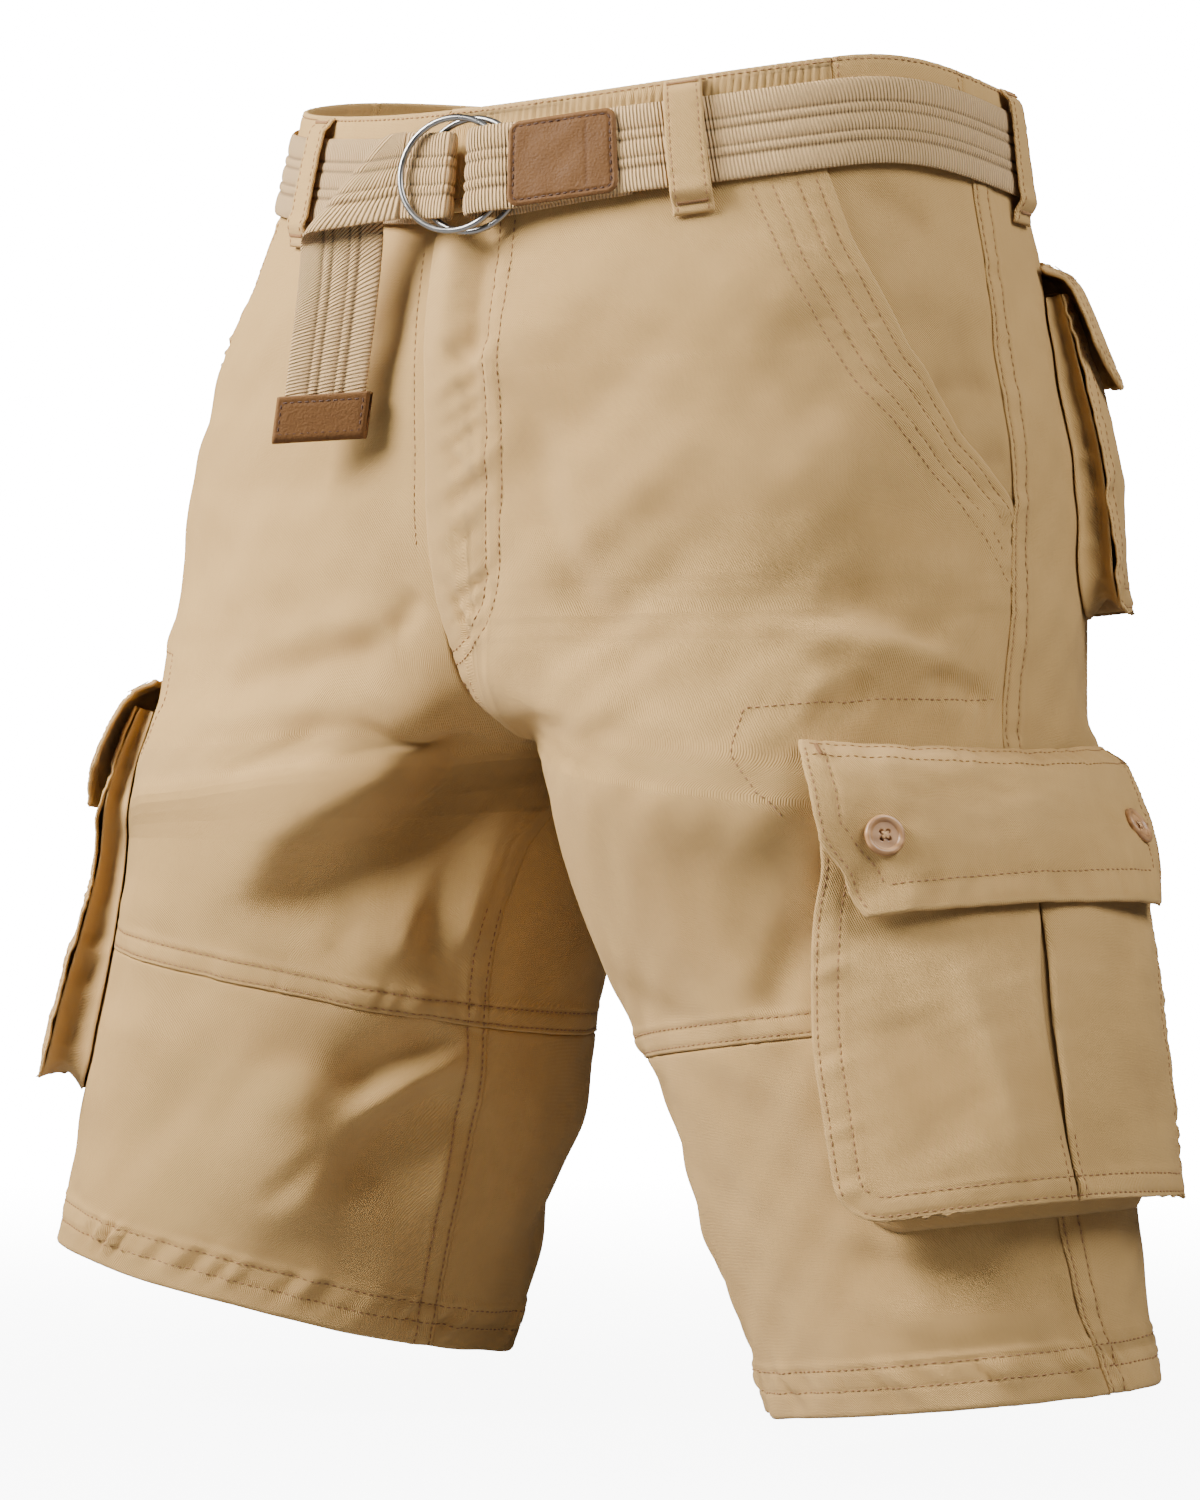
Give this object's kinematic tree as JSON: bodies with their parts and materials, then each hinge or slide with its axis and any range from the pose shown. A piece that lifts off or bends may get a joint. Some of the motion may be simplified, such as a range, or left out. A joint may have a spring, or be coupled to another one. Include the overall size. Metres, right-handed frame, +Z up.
{
  "type": "cargo shorts",
  "caption": "Knee-length cargo shorts in cotton twill, filled out as worn, with bellows pockets on the legs and seat and a ribbed webbing belt held by two steel rings.",
  "frame": {"origin": "middle of the top edge of the waistband, where the wearer's waist holds the shorts", "axes": "+Z up the wearer, -Y to the wearer's front, +X to the wearer's left"},
  "size_m": [0.5355, 0.3189, 0.5529],
  "materials": {
    "twill": "washed khaki cotton twill",
    "webbing": "ribbed beige cotton webbing",
    "steel": "plain bright steel wire",
    "leather": "smooth brown leather",
    "button": "mottled tan plastic"
  },
  "bodies": {
    "root": {"back_left_face": "twill", "back_left_flap": "twill", "back_left_gusset": "twill", "back_lower_left": "twill", "back_lower_right": "twill", "back_right_face": "twill", "back_right_flap": "twill", "back_right_gusset": "twill", "back_upper_left": "twill", "back_upper_right": "twill", "belt_left": "webbing", "belt_loop_back": "twill", "belt_loop_front_left": "twill", "belt_loop_front_right": "twill", "belt_loop_side_left": "twill", "belt_loop_side_right": "twill", "belt_right": "webbing", "belt_tail": "webbing", "belt_tip": "leather", "cargo_left_button_back": "button", "cargo_left_button_front": "button", "cargo_left_face_back": "twill", "cargo_left_face_front": "twill", "cargo_left_flap": "twill", "cargo_left_gusset": "twill", "cargo_left_pleat": "twill", "cargo_right_button_back": "button", "cargo_right_button_front": "button", "cargo_right_face_back": "twill", "cargo_right_face_front": "twill", "cargo_right_flap": "twill", "cargo_right_gusset": "twill", "cargo_right_pleat": "twill", "fly_shield": "twill", "front_lower_left": "twill", "front_lower_right": "twill", "front_upper_left": "twill", "front_upper_right": "twill", "leather_patch": "leather", "pocket_side_left": "twill", "pocket_side_right": "twill", "ring_inner": "steel", "ring_outer": "steel", "waistband_back_left": "twill", "waistband_back_right": "twill", "waistband_front_left": "twill", "waistband_front_right": "twill", "waistband_side_left": "twill", "waistband_side_right": "twill"}
  },
  "joints": []
}
